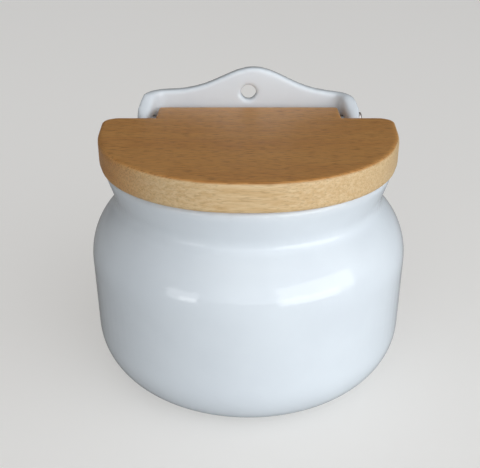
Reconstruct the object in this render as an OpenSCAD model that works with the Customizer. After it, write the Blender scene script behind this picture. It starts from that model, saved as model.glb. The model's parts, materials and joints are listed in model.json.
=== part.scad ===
// Wall salt box: a glazed pot with a flat back plate, a swinging wooden lid and one steel hinge pin.
// Millimetres, +Z up. The front looks towards -Y, the wall is towards +Y, and the origin lies on the
// ground under the middle of the box.

/* [Pot] */
// Widest diameter of the pot
pot_d = 160; // [150:1:176]
// Diameter of the flat foot that it stands on
foot_d = 102.6; // [84:0.2:106]
// Radius of the rounded bottom corner
corner_r = 28.3; // [20:0.1:32]
// Radius of the rounded shoulder
shoulder_r = 35; // [31:0.5:42]
// Thickness of the wall
wall = 6; // [4:0.5:7]
// Thickness of the floor
floor_t = 7; // [5:0.5:10]
// Depth of the hollow under the foot
foot_recess = 1.2; // [0.6:0.1:2.5]
// Width of the foot ring round that hollow
foot_ring = 7; // [5:0.5:12]

/* [Neck and rim] */
// Height of the rim
rim_z = 112.8; // [104:0.2:130]
// Outer diameter of the rim
rim_d = 141; // [136:0.5:145]
// Thickness of the rolled rim
rim_t = 6.5; // [6.25:0.25:9]
// Radius of the rim's rounded edge
lip_r = 3; // [2:0.25:3.25]
// Diameter at the bottom of the neck groove
neck_d = 132.8; // [126:0.2:136]
// Radius of the hollow of the neck groove
neck_r = 6; // [4:0.5:7.5]
// Drop from the rim to the middle of the groove
neck_drop = 17.3; // [14:0.1:20]

/* [Back plate and ears] */
// Distance from the pot's axis to its flat back
back_y = 53.5; // [51:0.5:57]
// Thickness of the back plate and of the two ears
plate_t = 6.5; // [5.5:0.5:7.5]
// Angle that the ears stand away from straight back
ear_angle = 25; // [18:0.5:28]
// Length of ear in front of the hinge pin's axis
ear_nose = 5.6; // [4.6:0.1:6.6]
// Radius of the ear's rounded front corner, seen from the side
ear_r = 12.5; // [10:0.5:13]
// Height of the plate's shoulders above the hinge pin's axis
ear_rise = 12.6; // [10:0.1:16]
// Radius of the bend from the plate into each ear, at mid thickness
bend_r = 6; // [4:0.5:8]
// Height of the crest above the plate's shoulders
crest_h = 13.2; // [8:0.2:20]
// Spread of the crest to either side
crest_w = 24; // [18:0.5:28]
// Sideways place of the crest
crest_x = 3; // [-4:0.5:4]
// How much higher the left shoulder stands than the right one
plate_lean = 1.7; // [0:0.1:2]
// Diameter of the hanging hole
hole_d = 8.4; // [5:0.2:10]
// Drop from the crest to the middle of the hanging hole
hole_drop = 13.3; // [11:0.1:16]

/* [Lid] */
// Thickness of the lid
lid_t = 13.4; // [11:0.2:16]
// How far the lid reaches past the rim
lid_overhang = 2.5; // [2:0.5:6]
// How much squarer than a circle the lid is in front
lid_square = 3.5; // [1:0.5:6]
// Radius of the lid's upper edge
lid_top_r = 2; // [1:0.25:3]
// Radius of the lid's lower edge
lid_low_r = 1.2; // [0.6:0.2:2]
// Radius of the wings' rear corners, seen from above
wing_r = 8; // [5:0.5:12]
// Gap in front of the ears, back to which the wings reach
wing_gap = 11.9; // [9:0.1:18]
// Gap between the tongue and each ear
tongue_gap = 0.8; // [0.5:0.1:3]
// Gap between the tongue and the back plate
tongue_rear_gap = 2.4; // [1.8:0.1:3]
// Radius of the tongue's upper rear edge, which rolls past the plate
tongue_r = 3.5; // [2.5:0.25:4.5]
// Radius of the tongue's lower rear edge, which rolls past the rim
tongue_low_r = 4; // [3.5:0.25:5]
// Radius of the tongue's rear corners, seen from above
tongue_corner_r = 3; // [2:0.25:4]
// Gap between the closed lid and the rim
lid_gap = 0.2; // [0.1:0.05:0.5]

/* [Hinge pin] */
// Diameter of the pin
pin_d = 4; // [3:0.1:4.4]
// Diameter of its domed head
head_d = 6.8; // [5.6:0.1:7.6]
// Height of that head
head_h = 1.7; // [1.2:0.1:2.5]
// Depth of the pin's axis below the lid's top
pin_depth = 5.8; // [5:0.1:6.2]
// Gap between the raised lid's top and the back plate
open_gap = 1.1; // [0.8:0.1:2]
// Radial clearance of the pin in the ears, where it turns
pin_clear = 0.08; // [0.05:0.01:0.1]
// Radial clearance of the pin in the lid, where it is held
pin_grip = 0.02; // [0.01:0.01:0.05]
// Gap between the pin's head and the ear
head_gap = 0.15; // [0.1:0.05:0.4]

/* [Hidden] */
$fn = 96;

// Steps in each rounded stretch of an outline, in each small rounded edge and in each half of the crest
ARC_STEPS = 14;
EDGE_STEPS = 4;
CROWN_STEPS = 16;
// How far a cutting shape reaches past what it cuts
PAST = 20;

// Pot: radii and heights of the circles that its outline is made of
pot_r = pot_d / 2;
foot_r = foot_d / 2;
rim_r = rim_d / 2;
rim_in_r = rim_r - rim_t;
plate_y = back_y - plate_t;
neck_z = rim_z - neck_drop;
neck_mid_r = neck_d / 2 + neck_r;
shoulder_mid_r = pot_r - shoulder_r;
// Angle at which the shoulder runs into the groove
shoulder_a = acos((neck_mid_r - shoulder_mid_r) / (shoulder_r + neck_r));
belly_z = neck_z - (shoulder_r + neck_r) * sin(shoulder_a);
// Angle of the line that touches the hollow of the groove and the rim's rounded edge
flare_dr = rim_r - lip_r - neck_mid_r;
flare_dz = neck_drop - lip_r;
flare_a = atan2(flare_dz, flare_dr) - acos(-(lip_r + neck_r) / norm([flare_dr, flare_dz]));

// The whole box, front to back, is centred on the origin
axis_y = (pot_r - back_y) / 2;

// Heights of the lid and the hinge, measured up from the rim
lid_z = rim_z + lid_gap;
lid_top = lid_z + lid_t;
lid_r = rim_r + lid_overhang;
pin_z = lid_top - pin_depth;
pin_y = plate_y - pin_depth - open_gap;
plate_z = pin_z + ear_rise;
crest_z = plate_z + crest_h;

// Ears and plate: one bent wall, described along its middle line in plan
half_t = plate_t / 2;
ear_y = pin_y - ear_nose;
ear_x = sqrt(pow((rim_r + rim_in_r) / 2, 2) - ear_y * ear_y);
plate_mid_y = back_y - half_t;
ear_run = (plate_mid_y - ear_y) / cos(ear_angle);
bend_run = bend_r * tan((90 - ear_angle) / 2);
bend_x = ear_x - ear_run * sin(ear_angle) - bend_run;
// Outermost reach of an ear's rounded nose
ear_out_x = ear_x - half_t * sin(ear_angle) + half_t;
// The wall's lower edge: under the ears inside the rim, under the plate inside the pot's shoulder
ear_low_z = rim_z - lip_r;
plate_low_z = belly_z + shoulder_r * 0.5;

// Lid: outline of its wings and of the tongue between the ears
wing_y = ear_y - wing_gap;
tongue_y = plate_y - tongue_rear_gap;
tongue_x = ear_x - (tongue_y - ear_y) * tan(ear_angle) - half_t / cos(ear_angle) - tongue_gap;

// Points of an arc about [x, y] from angle a to angle b
function arc(x, y, r, a, b, steps = ARC_STEPS, from = 0) =
    [for (i = [from:steps])
        let (t = a + (b - a) * i / steps)
        [x + r * cos(t), y + r * sin(t)]];

// Angle of the outer line that touches two circles [x, y, r], lower one first
function touch_a(low, high) =
    let (dx = low[0] - high[0], dy = low[1] - high[1])
    atan2(dy, dx) + acos((high[2] - low[2]) / norm([dx, dy]));

// One side of the pot's section from the bottom corner to the neck, moved inwards by a distance
function pot_side(inset, corner_z) =
    let (
        low = [foot_r, corner_z, corner_r - inset],
        high = [shoulder_mid_r, belly_z, shoulder_r - inset],
        a = touch_a(low, high)
    )
    concat(
        arc(low[0], low[1], low[2], -90, a),
        arc(high[0], high[1], high[2], a, 0, EDGE_STEPS),
        arc(high[0], high[1], high[2], 0, shoulder_a, from = 1),
        arc(neck_mid_r, neck_z, neck_r + inset, 180 + shoulder_a, 180 + flare_a)
    );

// Height of the plate's upper edge at x
function crown(x) =
    plate_z - plate_lean * x / (2 * ear_x) + crest_h * exp(-pow((x - crest_x) / crest_w, 2));

// Middle points of the right half of the bent wall in plan, each with the wall's outward direction and half
// thickness: the ear's rounded nose, then the bend
wall_line = concat(
    [
        for (i = [0:EDGE_STEPS])
            let (t = 90 * i / EDGE_STEPS, s = half_t * (1 - cos(t)))
            [ear_x - s * sin(ear_angle), ear_y + s * cos(ear_angle), ear_angle, half_t * sin(t)]
    ],
    [
        for (i = [0:EDGE_STEPS])
            let (a = ear_angle + (90 - ear_angle) * i / EDGE_STEPS)
            [bend_x + bend_r * cos(a), plate_mid_y - bend_r + bend_r * sin(a), a, half_t]
    ]
);

// One side of that wall: outer for side = 1, inner for side = -1
function wall_side(side, from = 0) =
    [for (i = [from:len(wall_line) - 1])
        let (p = wall_line[i])
        [p[0] + side * p[3] * cos(p[2]), p[1] + side * p[3] * sin(p[2])]];

// The same points on the other side of the middle plane, last one first, and the points in reverse
function mirrored(points) = [for (i = [len(points) - 1:-1:0]) [-points[i][0], points[i][1]]];
function reversed(points) = [for (i = [len(points) - 1:-1:0]) points[i]];

// Plan of the whole wall, from the right ear's nose round the back to the left one and home inside
wall_plan = concat(
    wall_side(1), mirrored(wall_side(1, 1)),
    reversed(mirrored(wall_side(-1, 1))), reversed(wall_side(-1, 1))
);

// Back plate with its crest, and the two ears that it bends forward into
module plate_and_ears() {
    reach = 2 * ear_x;
    top = crest_z + PAST;
    intersection() {
        translate([0, 0, ear_low_z])
            linear_extrude(top)
                polygon(wall_plan);
        // Front view: the crest and the shoulders
        rotate([90, 0, 0])
            linear_extrude(4 * back_y, center = true)
                polygon(concat(
                    [[reach, 0], [reach, crown(ear_x)]],
                    [for (i = [CROWN_STEPS:-1:-CROWN_STEPS])
                        let (x = 2 * crest_w * i / CROWN_STEPS) [x, crown(x)]],
                    [[-reach, crown(-ear_x)], [-reach, 0]]
                ));
        // Side view: the ears' rounded front corners
        along_x(2 * reach, concat(
            [[back_y + PAST, 0], [back_y + PAST, top], [ear_y + ear_r, top]],
            arc(ear_y + ear_r, plate_z - ear_r + plate_lean, ear_r, 90, 180, ARC_STEPS),
            [[ear_y, 0]]
        ));
    }
    // The plate's lower part, down into the pot's shoulder
    translate([0, 0, plate_low_z])
        linear_extrude(ear_low_z - plate_low_z)
            polygon([for (p = wall_plan) if (p[1] >= plate_y) p]);
}

// Everything in front of a plane across the depth
module in_front_of(y) {
    translate([-pot_d, y - 2 * pot_d, -PAST])
        cube([2 * pot_d, 2 * pot_d, rim_z + 2 * PAST]);
}

// Outside of the pot, cut flat at the back
module pot_outside() {
    intersection() {
        rotate_extrude()
            polygon(concat(
                [[0, foot_recess], [foot_r - foot_ring - foot_recess, foot_recess], [foot_r - foot_ring, 0]],
                pot_side(0, corner_r),
                arc(rim_r - lip_r, rim_z - lip_r, lip_r, flare_a, 90, EDGE_STEPS),
                [[0, rim_z]]
            ));
        in_front_of(back_y);
    }
}

// Hollow of the pot, up through the mouth
module pot_inside() {
    intersection() {
        rotate_extrude()
            polygon(concat(
                [[0, floor_t]],
                pot_side(wall, floor_t + corner_r - wall),
                [[rim_in_r, rim_z - lip_r], [rim_in_r, rim_z + 1], [0, rim_z + 1]]
            ));
        in_front_of(plate_y);
    }
}

// Pot, back plate and ears: one glazed casting
module salt_pot() {
    color([0.93, 0.95, 0.96])
        translate([0, axis_y, 0])
            difference() {
                union() {
                    difference() {
                        pot_outside();
                        pot_inside();
                    }
                    plate_and_ears();
                }
                pin_line(pin_d / 2 + pin_clear, -ear_out_x - PAST, ear_out_x + PAST);
                translate([0, plate_mid_y, crest_z - hole_drop])
                    rotate([90, 0, 0])
                        cylinder(d = hole_d, h = plate_t + PAST, center = true);
            }
}

// A cylinder on the hinge axis from one x to another
module pin_line(r, from, to) {
    translate([from, pin_y, pin_z])
        rotate([0, 90, 0])
            cylinder(r = r, h = to - from);
}

// Section of the lid's edge: flat inside, rounded above and below, reaching out to x = reach
function lid_edge(start, reach, top_r, low_r) = concat(
    [[start, 0]],
    arc(reach - low_r, low_r, low_r, -90, 0, EDGE_STEPS),
    arc(reach - top_r, lid_t - top_r, top_r, 0, 90, EDGE_STEPS),
    [[start, lid_t]]
);

// Section rounded at both of its sides
function lid_bar(half) = concat(
    arc(half - lid_low_r, lid_low_r, lid_low_r, -90, 0, EDGE_STEPS),
    arc(half - lid_top_r, lid_t - lid_top_r, lid_top_r, 0, 90, EDGE_STEPS),
    arc(-half + lid_top_r, lid_t - lid_top_r, lid_top_r, 90, 180, EDGE_STEPS),
    arc(-half + lid_low_r, lid_low_r, lid_low_r, 180, 270, EDGE_STEPS)
);

// A section in y and z drawn out along x, centred
module along_x(length, points) {
    rotate([90, 0, 90])
        linear_extrude(length, center = true)
            polygon(points);
}

// Round of the lid: from its widest place the sides run straight back to the wings' rounded corners
module lid_round() {
    corner_y = wing_y - wing_r;
    corner_x = lid_r - wing_r;
    hull() {
        intersection() {
            for (side = [-1, 1])
                translate([side * lid_square, -lid_square, 0])
                    rotate_extrude()
                        polygon(lid_edge(0, lid_r - lid_square, lid_top_r, lid_low_r));
            in_front_of(corner_y);
        }
        for (side = [-1, 1])
            translate([side * corner_x, corner_y, 0])
                rotate_extrude($fn = 48)
                    polygon(lid_edge(0, wing_r, lid_top_r, lid_low_r));
    }
}

// Tongue that lies between the ears and holds the pin
module lid_tongue() {
    intersection() {
        along_x(2 * tongue_x, lid_edge(0, tongue_y, tongue_r, tongue_low_r));
        rotate([90, 0, 0])
            linear_extrude(4 * lid_r, center = true)
                polygon(lid_bar(tongue_x));
        translate([0, 0, -PAST])
            linear_extrude(lid_t + 2 * PAST)
                polygon(concat(
                    [[-tongue_x, -PAST], [tongue_x, -PAST]],
                    arc(tongue_x - tongue_corner_r, tongue_y - tongue_corner_r, tongue_corner_r, 0, 90, EDGE_STEPS),
                    arc(-tongue_x + tongue_corner_r, tongue_y - tongue_corner_r, tongue_corner_r, 90, 180, EDGE_STEPS)
                ));
    }
}

// Wooden lid: a round board with straight rear wings and a tongue, bored for the pin
module lid() {
    color([0.66, 0.47, 0.27])
        translate([0, axis_y, 0])
            difference() {
                translate([0, 0, lid_z])
                    union() {
                        lid_round();
                        lid_tongue();
                    }
                pin_line(pin_d / 2 + pin_grip, -tongue_x - PAST, tongue_x + PAST);
            }
}

// Steel hinge pin: a plain rod with a domed head outside the right ear
module hinge_pin() {
    head_x = ear_out_x + head_gap;
    color([0.78, 0.76, 0.74])
        translate([0, axis_y, 0]) {
            pin_line(pin_d / 2, -ear_out_x, head_x + head_h / 4);
            translate([head_x, pin_y, pin_z])
                rotate([0, 90, 0])
                    rotate_extrude()
                        polygon(concat([[0, 0]], pin_dome()));
        }
}

// Outline of the pin's head: a short straight rim and an elliptic dome
function pin_dome() =
    let (rim = head_h / 3)
    concat(
        [[head_d / 2, 0]],
        [for (i = [0:8]) [head_d / 2 * cos(90 * i / 8), rim + (head_h - rim) * sin(90 * i / 8)]]
    );

salt_pot();
lid();
hinge_pin();
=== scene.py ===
# Wall salt box: a glazed pot with a flat back and two hinge ears, a varnished wooden lid and a steel pin.
# The box faces -Y. Blender units are metres; sizes are written in millimetres times MM.
import json
import math

import bmesh
import bpy
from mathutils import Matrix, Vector


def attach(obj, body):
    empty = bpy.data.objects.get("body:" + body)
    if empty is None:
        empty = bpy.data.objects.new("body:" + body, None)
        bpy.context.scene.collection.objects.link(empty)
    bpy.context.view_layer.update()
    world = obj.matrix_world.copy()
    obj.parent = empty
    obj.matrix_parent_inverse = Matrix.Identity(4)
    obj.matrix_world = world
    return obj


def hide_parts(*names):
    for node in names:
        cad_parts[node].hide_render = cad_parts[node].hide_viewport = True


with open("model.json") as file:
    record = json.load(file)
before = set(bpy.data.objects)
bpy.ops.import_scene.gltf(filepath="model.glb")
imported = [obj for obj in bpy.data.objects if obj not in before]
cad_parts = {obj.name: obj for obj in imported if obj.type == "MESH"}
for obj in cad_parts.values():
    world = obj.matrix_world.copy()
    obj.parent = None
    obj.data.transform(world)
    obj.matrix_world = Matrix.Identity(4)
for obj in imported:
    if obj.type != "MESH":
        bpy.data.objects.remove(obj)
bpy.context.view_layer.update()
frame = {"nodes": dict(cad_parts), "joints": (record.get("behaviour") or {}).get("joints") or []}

MM = 0.001

# The pot's upright axis, behind the middle of the whole box, and a point on the hinge's axis
AXIS_Y = 13.25 * MM
hinge = Vector(frame["joints"][0]["pos_m"])

# Pot and lid alike: how near two corners are joined, the share that an edge melts in one pass,
# the angle in degrees from which an edge stays sharp, and the pin's bore
WELD_REACH = 0.005 * MM
MELT = 0.5
SHARP_ANGLE = 50
BORE_R = 2.08 * MM
OLD_BORE_R = 1.15 * BORE_R
BORE_SIDES = 64

# Glazed pot: how finely the casting is meshed, how often its edges melt, and half the length of its drill
POT_GRAIN = 1.35 * MM
POT_MELT_PASSES = 5
POT_DRILL = 90 * MM

# Ears: where they start, how gently they leave the plate, and how much more often they melt
EAR_FROM = 44 * MM
EAR_FLOOR = 118 * MM
EAR_BLEND = 6 * MM
EAR_MELT_PASSES = 11

# Noses, the ears' front ends: the height above which the tips lie, the depth that is drawn forward,
# the depth and the lowest height that are drawn down, and how far around the drawing is felt
TIP_FLOOR = EAR_FLOOR + 4 * MM
NOSE_DEPTH = 1.5 * MM
NOSE_FORWARD = (0, -3.4 * MM, 0)
BROW_DEPTH = 5 * MM
BROW_FLOOR = 127 * MM
BROW_DOWN = (0, 0, -3.4 * MM)
NOSE_REACH = 9 * MM

# Wooden lid: how finely the board is meshed, how often its edges are sanded, and half the length of its drill
LID_GRAIN = 0.75 * MM
LID_SAND_PASSES = 2
LID_DRILL = 60 * MM

# Lid's outline: the wings lie in front of their rear and outside their root. The sides are trimmed by one
# factor of width, and the rear corners are filled out by many small ones, each from a little further back
WING_REAR = 36.5 * MM
WING_ROOT = 52 * MM
SIDE_TRIM = 0.981
CORNER_FROM = -8 * MM
CORNER_STEP = 1.5 * MM
CORNER_STEPS = 25
CORNER_FILL = 1.0017

# Glaze: its cool whites and specks, and the clay that is bare up to a wandering line round the foot
GLAZE_DEEP = (0.768, 0.816, 0.855, 1)
GLAZE_CLEAR = (0.803, 0.853, 0.890, 1)
GLAZE_SPECK = (0.60, 0.58, 0.54, 1)
GLAZE_ROUGH = (0.03, 0.065)
CLAY = (0.66, 0.60, 0.52, 1)
CLAY_ROUGH = 0.62
CLAY_TO_GLAZE = (0.9 * MM, 1.6 * MM)
CLAY_WANDER = 0.8 * MM

# Wood: the heart of the tree in y and z, how its rings wander and how tightly they follow each other,
# and how its patterns are squeezed across the grain, which runs along x
HEART = (-30 * MM, 45 * MM)
RING_WANDER = 20 * MM
RING_RATE = 900.0
DRIFT_GRAIN = (5, 26, 26)
FIBRE_GRAIN = (60, 900, 900)
PORE_GRAIN = (190, 1900, 1900)
PORE_START = (0.3, 0, 0)
CLOUD_GRAIN = (8, 30, 30)

# Wood under its varnish
RING_DARK = (0.60, 0.265, 0.070, 1)
RING_PALE = (0.66, 0.32, 0.090, 1)
FIBRE_GOLD = (0.74, 0.39, 0.13, 1)
CLOUD_BROWN = (0.56, 0.25, 0.078, 1)
PORE_BROWN = (0.30, 0.125, 0.034, 1)
WOOD_ROUGH = (0.42, 0.58)

# The lid's round side, paler than its top, partly in its own tone and partly as a painted sheen of the window
# light it faces:
# its colours, and where it starts from the pot's axis, below the top and from the left, where it fades into
# painted shade
SIDE_TAN = (0.65, 0.45, 0.225, 1)
SIDE_CREAM = (0.75, 0.58, 0.34, 1)
SIDE_PORE = (0.42, 0.24, 0.09, 1)
SIDE_STRENGTH = 0.85
SIDE_RADIUS = (70.5 * MM, 72.2 * MM)
SIDE_TOP = (125.4 * MM, 126.1 * MM)
SIDE_SHADE_LEFT = (-68 * MM, -34 * MM)

# Steel: darkened on the rod inside the ears as painted shade, and pale and warm past the ears' outer faces as
# a painted highlight and reflection of the wood
ROD_SHADE_DARK = (0.13, 0.12, 0.115, 1)
ROD_SHADE_PALE = (0.22, 0.205, 0.195, 1)
HEAD_HIGHLIGHT_DARK = (0.66, 0.60, 0.575, 1)
HEAD_HIGHLIGHT_PALE = (0.78, 0.73, 0.70, 1)
HEAD_FROM = (59.0 * MM, 59.6 * MM)
STEEL_ROUGH = (0.22, 0.42)
RING_MARKS = (6000, 300, 300)

# Camera: its place, its tilt down in degrees, its lens and sensor, and how far the picture is shifted
CAMERA_PLACE = (0, -337.01 * MM, 233.47 * MM)
CAMERA_TILT = 25.0
CAMERA_LENS = 55.5
CAMERA_SENSOR = 36
CAMERA_SHIFT_X = -0.01767
CAMERA_NEAREST = 10 * MM

# Room: bright the way that the box faces and dim behind it, how far it must face that way for each,
# and what the camera sees of it
ROOM_BRIGHT = (1.50, 1.575, 1.66, 1)
ROOM_DIM = (0.08, 0.072, 0.065, 1)
ROOM_WAY = (0.50, -0.85, -0.12)
ROOM_SPAN = (-0.02, 1.0)
ROOM_SEEN = (0.62, 0.615, 0.605, 1)

# Floor, in metres: a plain pale plane, with what the camera sees of it lifted
FLOOR_SIZE = 6
FLOOR_COLOUR = (0.55, 0.543, 0.53, 1)
FLOOR_GLOW = (0.80, 0.79, 0.77, 1)
FLOOR_LIFT = 0.50

# Lights, in metres: how far off the windows stand and what they light, and the ceiling above
WINDOW_DISTANCE = 0.7
POT_MIDDLE = (0, 0, 0.08)
LID_MIDDLE = (0, 0, 0.1)
CEILING_PLACE = (0, -0.4, 1.4)
DAYLIGHT = (0.96, 1.0, 1.04)
SOFT_DAYLIGHT = (0.98, 1.0, 1.02)
WHITE = (1.0, 1.0, 1.0)
WARM_WHITE = (1.0, 0.98, 0.96)


# Mesh helpers


def pick(piece):
    """Makes one piece the only selected and active one."""
    bpy.ops.object.select_all(action="DESELECT")
    piece.select_set(True)
    bpy.context.view_layer.objects.active = piece


def select_where(piece, test):
    """Leaves the piece in edit mode with just the vertices selected whose place passes the test."""
    pick(piece)
    bpy.context.tool_settings.mesh_select_mode = (True, False, False)
    bpy.ops.object.mode_set(mode="EDIT")
    bpy.ops.mesh.select_all(action="DESELECT")
    bpy.ops.object.mode_set(mode="OBJECT")
    for vertex in piece.data.vertices:
        vertex.select = test(vertex.co)
    bpy.ops.object.mode_set(mode="EDIT")


def copy_of_node(node, name):
    """A copy of a CAD solid as a piece of its own, with its loose triangles joined."""
    piece = bpy.data.objects.new(name, frame["nodes"][node].data.copy())
    bpy.context.scene.collection.objects.link(piece)
    piece.data.materials.clear()
    pick(piece)
    bpy.ops.object.mode_set(mode="EDIT")
    bpy.ops.mesh.select_all(action="SELECT")
    bpy.ops.mesh.remove_doubles(threshold=WELD_REACH)
    bpy.ops.object.mode_set(mode="OBJECT")
    return piece


def apply_modifier(piece, kind, **values):
    """Adds a modifier with these values and applies it."""
    modifier = piece.modifiers.new(kind.title(), kind)
    for name, value in values.items():
        setattr(modifier, name, value)
    pick(piece)
    bpy.ops.object.modifier_apply(modifier=modifier.name)


def close_bores(piece):
    """Takes out the walls of the pin's bores and closes the flat faces that they pierced."""
    pick(piece)
    bpy.ops.object.mode_set(mode="EDIT")
    bpy.ops.mesh.select_mode(type="VERT")
    bpy.ops.mesh.select_all(action="DESELECT")
    mesh = bmesh.from_edit_mesh(piece.data)
    for vertex in mesh.verts:
        if math.hypot(vertex.co.y - hinge.y, vertex.co.z - hinge.z) < OLD_BORE_R:
            vertex.select_set(True)
    bmesh.update_edit_mesh(piece.data)
    bpy.ops.mesh.delete(type="VERT")
    bpy.ops.mesh.select_all(action="SELECT")
    bpy.ops.mesh.fill_holes(sides=0)
    bpy.ops.mesh.normals_make_consistent(inside=False)
    bpy.ops.object.mode_set(mode="OBJECT")


def drill(piece, half_length):
    """Bores the piece along the hinge's axis."""
    bpy.ops.object.select_all(action="DESELECT")
    bpy.ops.mesh.primitive_cylinder_add(
        vertices=BORE_SIDES, radius=BORE_R, depth=2 * half_length,
        location=hinge, rotation=(0, math.pi / 2, 0))
    cutter = bpy.context.object
    bpy.ops.object.transform_apply(location=True, rotation=True, scale=True)
    apply_modifier(piece, "BOOLEAN", operation="DIFFERENCE", object=cutter, solver="EXACT")
    bpy.data.objects.remove(cutter)


def shade(piece):
    """Shades the piece smoothly, apart from its sharp edges."""
    pick(piece)
    bpy.ops.object.shade_smooth_by_angle(angle=math.radians(SHARP_ANGLE))


# Pot


def in_ears(place):
    """Tells whether a place on the pot belongs to its ears."""
    return place.z > EAR_FLOOR and abs(place.x) > EAR_FROM


def ears_group(pot):
    """A vertex group that grows from nothing beside the plate to full weight on the two ears."""
    group = pot.vertex_groups.new(name="ears")
    for vertex in pot.data.vertices:
        if in_ears(vertex.co):
            weight = (abs(vertex.co.x) - EAR_FROM) / EAR_BLEND
            group.add([vertex.index], min(weight, 1), "REPLACE")
    return group


def draw_ears(pot, depth, floor_z, move):
    """Draws the ears' front ends: this far behind their tips and above this height, by this much."""
    tip = min(vertex.co.y for vertex in pot.data.vertices
              if in_ears(vertex.co) and vertex.co.z > TIP_FLOOR)
    select_where(pot, lambda place: in_ears(place) and place.y < tip + depth and place.z > floor_z)
    bpy.ops.transform.translate(
        value=move, use_proportional_edit=True, proportional_edit_falloff="SMOOTH",
        proportional_size=NOSE_REACH, use_proportional_connected=True)
    bpy.ops.object.mode_set(mode="OBJECT")


def glazed_pot():
    """The one-piece casting, every edge melted round under its glaze."""
    pot = copy_of_node("salt_pot", "glazed_pot")
    close_bores(pot)
    apply_modifier(pot, "REMESH", mode="VOXEL", voxel_size=POT_GRAIN)
    draw_ears(pot, NOSE_DEPTH, EAR_FLOOR, NOSE_FORWARD)
    draw_ears(pot, BROW_DEPTH, BROW_FLOOR, BROW_DOWN)
    apply_modifier(pot, "SMOOTH", factor=MELT, iterations=POT_MELT_PASSES)
    ears = ears_group(pot)
    apply_modifier(pot, "SMOOTH", factor=MELT, iterations=EAR_MELT_PASSES, vertex_group=ears.name)
    drill(pot, POT_DRILL)
    shade(pot)
    return pot


# Lid


def widen(lid, factor, test):
    """Scales the lid's width about its middle where the test passes."""
    select_where(lid, test)
    bpy.ops.transform.resize(value=(factor, 1, 1), center_override=(0, 0, 0))
    bpy.ops.object.mode_set(mode="OBJECT")


def trim_lid(lid):
    """Brings the round board's sides in a little and fills out its rear corners, the tongue left as it is."""
    widen(lid, SIDE_TRIM, lambda place: place.y < WING_REAR)
    for step in range(CORNER_STEPS):
        start = CORNER_FROM + step * CORNER_STEP
        widen(lid, CORNER_FILL, lambda place: start < place.y < WING_REAR and abs(place.x) > WING_ROOT)


def wooden_lid():
    """The board with its wings and tongue, all edges sanded."""
    lid = copy_of_node("lid", "wooden_lid")
    close_bores(lid)
    apply_modifier(lid, "REMESH", mode="VOXEL", voxel_size=LID_GRAIN)
    trim_lid(lid)
    apply_modifier(lid, "SMOOTH", factor=MELT, iterations=LID_SAND_PASSES)
    drill(lid, LID_DRILL)
    shade(lid)
    return lid


# Material helpers


def new_material(name, **values):
    """A material whose shader has these plain values, given as socket_name=value."""
    material = bpy.data.materials.new(name)
    material.use_nodes = True
    shader = material.node_tree.nodes["Principled BSDF"]
    for socket, value in values.items():
        shader.inputs[socket.replace("_", " ")].default_value = value
    return material


def to_shader(material, socket, value):
    """Feeds a node's output to one of the material's own sockets."""
    tree = material.node_tree
    tree.links.new(value, tree.nodes["Principled BSDF"].inputs[socket])


def add_node(tree, kind, inputs=None, **settings):
    """A node with these settings, each input given a plain value or another node's output."""
    made = tree.nodes.new(kind)
    for name, value in settings.items():
        setattr(made, name, value)
    for socket, value in (inputs or {}).items():
        if isinstance(value, bpy.types.NodeSocket):
            tree.links.new(value, made.inputs[socket])
        else:
            made.inputs[socket].default_value = value
    return made


def maths(tree, operation, first, second=0.0):
    """One step of arithmetic."""
    return add_node(tree, "ShaderNodeMath", {0: first, 1: second}, operation=operation).outputs[0]


def plus(tree, first, second):
    """A sum."""
    return maths(tree, "ADD", first, second)


def minus(tree, first, second):
    """A difference."""
    return maths(tree, "SUBTRACT", first, second)


def times(tree, first, second):
    """A product."""
    return maths(tree, "MULTIPLY", first, second)


def off_axis(tree, first, second, axis):
    """How far a place is from an axis, given its two coordinates across it."""
    one = minus(tree, first, axis[0])
    other = minus(tree, second, axis[1])
    return maths(tree, "SQRT", plus(tree, times(tree, one, one), times(tree, other, other)))


def spread(tree, value, span, to=(0.0, 1.0)):
    """Maps a value from one span to another, with soft ends."""
    return add_node(tree, "ShaderNodeMapRange", {
        "Value": value, "From Min": span[0], "From Max": span[1], "To Min": to[0], "To Max": to[1],
    }, interpolation_type="SMOOTHSTEP").outputs["Result"]


def noise(tree, place, scale=1.0, detail=2.0, roughness=0.5):
    """Smooth noise about one half."""
    return add_node(tree, "ShaderNodeTexNoise", {
        "Vector": place, "Scale": scale, "Detail": detail, "Roughness": roughness,
    }).outputs["Fac"]


def object_place(tree, grain=(1, 1, 1), start=(0, 0, 0)):
    """Object coordinates, squeezed so that a pattern runs long in one direction."""
    place = add_node(tree, "ShaderNodeTexCoord").outputs["Object"]
    return add_node(tree, "ShaderNodeMapping", {
        "Vector": place, "Scale": grain, "Location": start,
    }).outputs["Vector"]


def coordinates(tree, place):
    """A place's own X, Y and Z."""
    return add_node(tree, "ShaderNodeSeparateXYZ", {"Vector": place}).outputs


def mix_colours(tree, share, first, second):
    """The first colour, with this share of the second mixed in."""
    return add_node(tree, "ShaderNodeMix", {0: share, 6: first, 7: second}, data_type="RGBA").outputs[2]


def bump(tree, height, strength, distance):
    """A relief that only tilts the light."""
    return add_node(tree, "ShaderNodeBump", {
        "Height": height, "Strength": strength, "Distance": distance,
    }).outputs["Normal"]


def mottle_group():
    """Cloudy values that wander between a low and a high one: uneven gloss and tone."""
    group = bpy.data.node_groups.new("mottle", "ShaderNodeTree")
    group.interface.new_socket("Vector", in_out="INPUT", socket_type="NodeSocketVector")
    for name, value in (("Scale", 40.0), ("Low", 0.0), ("High", 1.0)):
        group.interface.new_socket(name, in_out="INPUT", socket_type="NodeSocketFloat").default_value = value
    group.interface.new_socket("Value", in_out="OUTPUT", socket_type="NodeSocketFloat")
    given = group.nodes.new("NodeGroupInput").outputs
    cloud = noise(group, given["Vector"], given["Scale"], detail=3.0, roughness=0.55)
    value = spread(group, cloud, (0.3, 0.7), (given["Low"], given["High"]))
    result = group.nodes.new("NodeGroupOutput")
    group.links.new(value, result.inputs["Value"])
    return group


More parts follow.
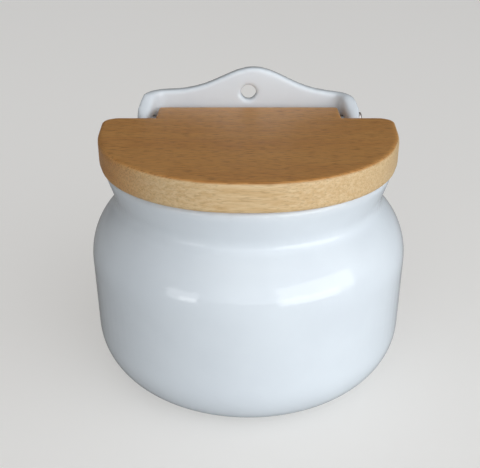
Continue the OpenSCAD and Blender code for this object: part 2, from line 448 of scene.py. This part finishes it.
def mottle(tree, place, scale=1.0, span=(0.0, 1.0)):
    """Places the shared mottle and returns its value."""
    return add_node(tree, "ShaderNodeGroup", {
        "Vector": place, "Scale": scale, "Low": span[0], "High": span[1],
    }, node_tree=MOTTLE).outputs["Value"]


# Materials


def glaze_material():
    """Cool white glaze: glossy, very slightly wavy, bare and rough on the foot ring."""
    material = new_material("white_glaze", IOR=1.52, Coat_Weight=0.0)
    tree = material.node_tree
    place = object_place(tree)
    wander = times(tree, noise(tree, place, scale=160, detail=3), CLAY_WANDER)
    bare = spread(tree, plus(tree, coordinates(tree, place)["Z"], wander), CLAY_TO_GLAZE, (1.0, 0.0))
    glaze = mix_colours(tree, mottle(tree, place, scale=26), GLAZE_DEEP, GLAZE_CLEAR)
    specks = spread(tree, noise(tree, place, scale=900, detail=1), (0.80, 0.86), (0.0, 0.35))
    glaze = mix_colours(tree, specks, glaze, GLAZE_SPECK)
    to_shader(material, "Base Color", mix_colours(tree, bare, glaze, CLAY))
    rough = add_node(tree, "ShaderNodeMapRange", {
        "Value": bare, "To Min": mottle(tree, place, scale=60, span=GLAZE_ROUGH), "To Max": CLAY_ROUGH,
    }).outputs["Result"]
    to_shader(material, "Roughness", rough)
    wave = noise(tree, place, scale=28, detail=1.5)
    pits = times(tree, noise(tree, place, scale=420), 0.05)
    to_shader(material, "Normal", bump(tree, plus(tree, wave, pits), strength=0.32, distance=1.2 * MM))
    return material


def growth_rings(tree, at):
    """Wandering rings about the heart of the tree: 0 in their dark wood and 1 in their pale wood."""
    drift = noise(tree, object_place(tree, DRIFT_GRAIN))
    ring = off_axis(tree, at["Y"], at["Z"], HEART)
    ring = plus(tree, ring, times(tree, drift, RING_WANDER))
    return spread(tree, maths(tree, "SINE", times(tree, ring, RING_RATE)), (-1.0, 1.0))


def side_tone_and_sheen(tree, at):
    """A mask of the lid's round side, whose paler colour is partly a painted sheen: nothing on its top, and
    fading out towards the left as painted shade.
    """
    radius = off_axis(tree, at["X"], at["Y"], (0.0, AXIS_Y))
    outside = spread(tree, radius, SIDE_RADIUS, (0.0, SIDE_STRENGTH))
    below_top = spread(tree, at["Z"], SIDE_TOP, (1.0, 0.0))
    return times(tree, times(tree, outside, below_top), spread(tree, at["X"], SIDE_SHADE_LEFT))


def wood_material():
    """Pale hardwood cut along the grain, with long open pores under a satin varnish."""
    material = new_material("varnished_wood", IOR=1.45, Coat_Weight=0.08, Coat_Roughness=0.28, Coat_IOR=1.5)
    tree = material.node_tree
    at = coordinates(tree, object_place(tree))
    fibre = noise(tree, object_place(tree, FIBRE_GRAIN), detail=4.0, roughness=0.6)
    pores = spread(tree, noise(tree, object_place(tree, PORE_GRAIN, PORE_START)), (0.51, 0.66))
    cloud = mottle(tree, object_place(tree, CLOUD_GRAIN))
    top = mix_colours(tree, growth_rings(tree, at), RING_DARK, RING_PALE)
    top = mix_colours(tree, spread(tree, fibre, (0.35, 0.65), (0.0, 0.8)), top, FIBRE_GOLD)
    top = mix_colours(tree, times(tree, cloud, 0.35), top, CLOUD_BROWN)
    top = mix_colours(tree, times(tree, pores, 0.65), top, PORE_BROWN)
    # The round side: its own paler tone with a painted sheen of the window light, fading into painted shade
    # on the left
    side = mix_colours(tree, spread(tree, fibre, (0.30, 0.70)), SIDE_TAN, SIDE_CREAM)
    side = mix_colours(tree, times(tree, pores, 0.3), side, SIDE_PORE)
    to_shader(material, "Base Color", mix_colours(tree, side_tone_and_sheen(tree, at), top, side))
    to_shader(material, "Roughness", spread(tree, fibre, (0.3, 0.7), WOOD_ROUGH))
    relief = minus(tree, times(tree, fibre, 0.35), times(tree, pores, 0.8))
    to_shader(material, "Normal", bump(tree, relief, strength=0.25, distance=0.25 * MM))
    return material


def steel_material():
    """Drawn steel, with painted shade darkening the rod and a painted warm highlight on the head, and fine
    rings and handling marks.
    """
    material = new_material("drawn_steel", Metallic=1.0)
    tree = material.node_tree
    place = object_place(tree)
    outwards = maths(tree, "ABSOLUTE", coordinates(tree, place)["X"])
    tone = mottle(tree, place, scale=420)
    # Painted shade on the rod inside the ears, painted highlight and reflection on the head past them
    rod = mix_colours(tree, tone, ROD_SHADE_DARK, ROD_SHADE_PALE)
    head = mix_colours(tree, tone, HEAD_HIGHLIGHT_DARK, HEAD_HIGHLIGHT_PALE)
    to_shader(material, "Base Color", mix_colours(tree, spread(tree, outwards, HEAD_FROM), rod, head))
    to_shader(material, "Roughness", mottle(tree, place, scale=900, span=STEEL_ROUGH))
    rings = noise(tree, object_place(tree, RING_MARKS))
    to_shader(material, "Normal", bump(tree, rings, strength=0.2, distance=0.1 * MM))
    return material


# Floor, light and camera


def floor():
    """A plain pale floor, lifted only in what the camera sees, so that it lights nothing."""
    bpy.ops.object.select_all(action="DESELECT")
    bpy.ops.mesh.primitive_plane_add(size=FLOOR_SIZE, location=(0, 0, 0))
    ground = bpy.context.object
    ground.name = "floor"
    material = new_material(
        "pale_floor", Base_Color=FLOOR_COLOUR, Roughness=0.9, Emission_Color=FLOOR_GLOW)
    tree = material.node_tree
    seen = add_node(tree, "ShaderNodeLightPath").outputs["Is Camera Ray"]
    to_shader(material, "Emission Strength", times(tree, seen, FLOOR_LIFT))
    ground.data.materials.append(material)


def room():
    """The light that comes from all round, from bright in front to dim behind."""
    world = bpy.data.worlds.new("studio")
    world.use_nodes = True
    tree = world.node_tree
    way = add_node(tree, "ShaderNodeTexCoord").outputs["Generated"]
    facing = add_node(
        tree, "ShaderNodeVectorMath", {0: way, 1: ROOM_WAY}, operation="DOT_PRODUCT").outputs["Value"]
    light = mix_colours(tree, spread(tree, facing, ROOM_SPAN), ROOM_DIM, ROOM_BRIGHT)
    seen = add_node(tree, "ShaderNodeLightPath").outputs["Is Camera Ray"]
    tree.links.new(mix_colours(tree, seen, light, ROOM_SEEN), tree.nodes["Background"].inputs["Color"])
    bpy.context.scene.world = world


def area_light(name, place, target, size, power, colour):
    """A lit rectangle, turned to its target."""
    light = bpy.data.lights.new(name, "AREA")
    light.shape = "RECTANGLE"
    light.size, light.size_y = size
    light.energy = power
    light.color = colour
    lamp = bpy.data.objects.new(name, light)
    bpy.context.scene.collection.objects.link(lamp)
    lamp.location = place
    lamp.rotation_euler = (Vector(target) - Vector(place)).to_track_quat("-Z", "Y").to_euler()


def window(name, azimuth, elevation, size, power, colour):
    """A window in the room that the pot faces: degrees to the right of the front, and up."""
    turn, rise = math.radians(azimuth), math.radians(elevation)
    middle = Vector(POT_MIDDLE)
    way = Vector((math.sin(turn) * math.cos(rise), -math.cos(turn) * math.cos(rise), math.sin(rise)))
    area_light(name, middle + WINDOW_DISTANCE * way, middle, size, power, colour)


def lights():
    """Two windows with brighter sills, which the glaze mirrors, and a soft ceiling."""
    window("window_right", azimuth=46, elevation=6, size=(0.74, 0.34), power=1.3, colour=DAYLIGHT)
    window("sill_right", azimuth=41, elevation=-2, size=(0.50, 0.11), power=0.28, colour=SOFT_DAYLIGHT)
    window("window_left", azimuth=-43, elevation=0, size=(0.28, 0.16), power=0.24, colour=DAYLIGHT)
    window("sill_left", azimuth=-38, elevation=-3, size=(0.14, 0.05), power=0.06, colour=WHITE)
    area_light("ceiling", CEILING_PLACE, LID_MIDDLE, size=(1.6, 1.6), power=3.3, colour=WARM_WHITE)


def camera():
    """The camera in front of the box, looking down on it."""
    made = bpy.data.cameras.new("camera")
    made.lens = CAMERA_LENS
    made.sensor_width = CAMERA_SENSOR
    made.shift_x = CAMERA_SHIFT_X
    made.clip_start = CAMERA_NEAREST
    view = bpy.data.objects.new("camera", made)
    bpy.context.scene.collection.objects.link(view)
    view.location = CAMERA_PLACE
    view.rotation_euler = (math.radians(90 - CAMERA_TILT), 0, 0)
    bpy.context.scene.camera = view


bpy.context.scene.view_settings.view_transform = "Standard"
MOTTLE = mottle_group()

pot = glazed_pot()
pot.data.materials.append(glaze_material())
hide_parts("salt_pot")
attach(pot, "pot")

lid = wooden_lid()
lid.data.materials.append(wood_material())
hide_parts("lid")
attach(lid, "lid")

frame["nodes"]["hinge_pin"].data.materials.clear()
frame["nodes"]["hinge_pin"].data.materials.append(steel_material())

floor()
room()
lights()
camera()
